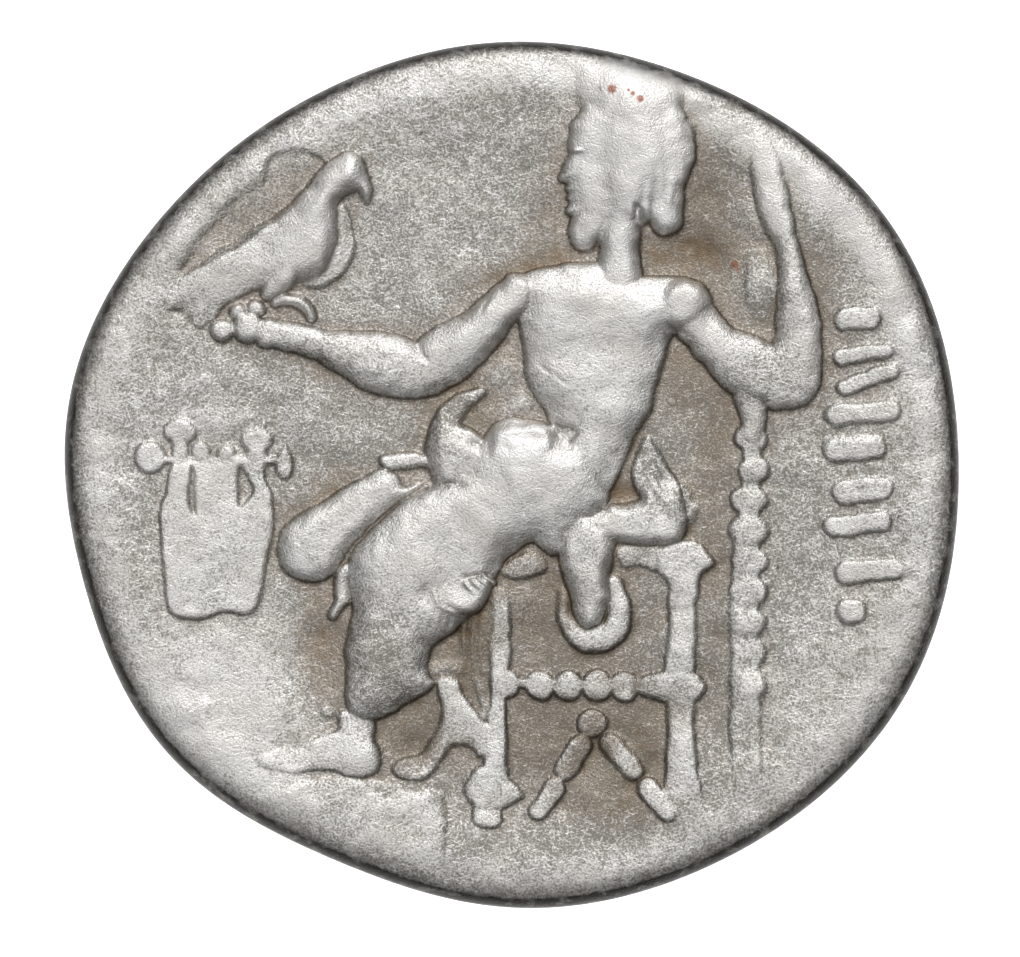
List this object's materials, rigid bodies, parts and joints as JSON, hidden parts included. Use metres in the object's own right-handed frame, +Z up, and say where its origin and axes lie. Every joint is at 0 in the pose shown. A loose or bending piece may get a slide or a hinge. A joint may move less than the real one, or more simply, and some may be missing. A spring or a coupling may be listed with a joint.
{
  "type": "ancient silver drachm",
  "caption": "Worn struck silver coin, lying flat: an enthroned figure with eagle, sceptre and lyre above, a worn capped head below.",
  "frame": {"origin": "middle of the coin's underside, on the flat worn on the lower side's relief", "axes": "+Z up through the coin from the worn head's side to the seated figure's side; +X to the picture's right and +Y to its top"},
  "size_m": [0.018, 0.0174, 0.0023],
  "materials": {
    "silver": "old worn silver, toned brown-grey in the hollows, dark round the edge"
  },
  "bodies": {
    "root": {"drachm": "silver"}
  },
  "joints": []
}
